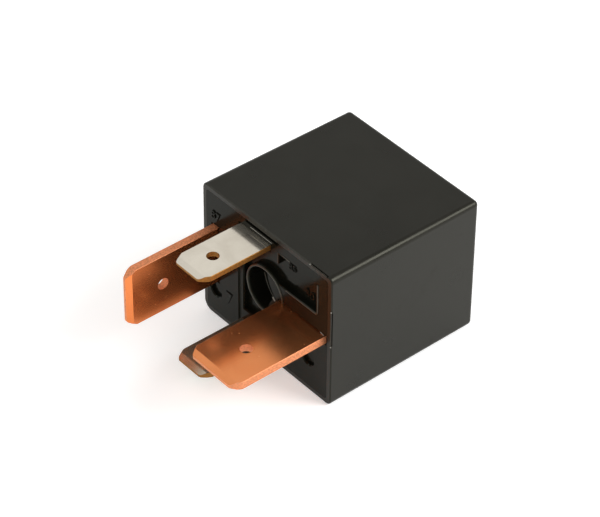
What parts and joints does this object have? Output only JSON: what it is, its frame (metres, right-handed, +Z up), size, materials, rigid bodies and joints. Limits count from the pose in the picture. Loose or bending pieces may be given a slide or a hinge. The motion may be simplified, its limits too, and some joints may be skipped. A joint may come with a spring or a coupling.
{
  "type": "automotive relay",
  "caption": "Sealed plug-in power relay: a glossy black cover over a coil, a rocking armature and contacts, with flat copper and tinned blades on its terminal face.",
  "frame": {"origin": "centre of the terminal face, in the plane where the relay meets its socket", "axes": "X across the width of the terminal face, Y from the terminal face into the body (the blades point to -Y), Z up as the relay lies on one long side of its cover"},
  "size_m": [0.0268, 0.0415, 0.022],
  "materials": {
    "cover_plastic": "glossy black moulding",
    "base_plastic": "glossy black moulding",
    "copper": "stamped and rolled copper",
    "tinned_brass": "tin plated, with bare golden cut edges",
    "magnet_iron": "zinc plated soft iron",
    "bobbin_plastic": "natural glass-filled nylon",
    "winding_wire": "enamelled copper wire",
    "spring_bronze": "rolled copper alloy strip",
    "contact_silver": "silver tin oxide",
    "stop_steel": "stamped steel",
    "rivet_steel": "nickel plated steel"
  },
  "bodies": {
    "housing": {"cover": "cover_plastic", "base": "base_plastic", "terminal_30": "copper", "terminal_87": "copper", "terminal_85": "tinned_brass", "terminal_86": "tinned_brass", "yoke": "magnet_iron", "core": "magnet_iron", "bobbin": "bobbin_plastic", "coil_winding": "winding_wire", "coil_lead_85": "winding_wire", "coil_lead_86": "winding_wire", "fixed_contact": "contact_silver", "rest_stop": "stop_steel", "yoke_rivet_upper": "rivet_steel", "yoke_rivet_lower": "rivet_steel"},
    "flap": {"armature": "magnet_iron", "contact_spring": "spring_bronze", "moving_contact": "contact_silver", "armature_rivet_upper": "rivet_steel", "armature_rivet_lower": "rivet_steel"}
  },
  "joints": [
    {"name": "armature_hinge", "type": "hinge", "parent": "housing", "child": "flap", "pos_m": [0.0101, 0.01955, 0], "axis": [0, 0, 1], "range_deg": [0, 3.2], "stiffness_Nm_per_rad": 0.02, "springref_deg": -28.65, "deforming": ["contact_spring"]}
  ]
}
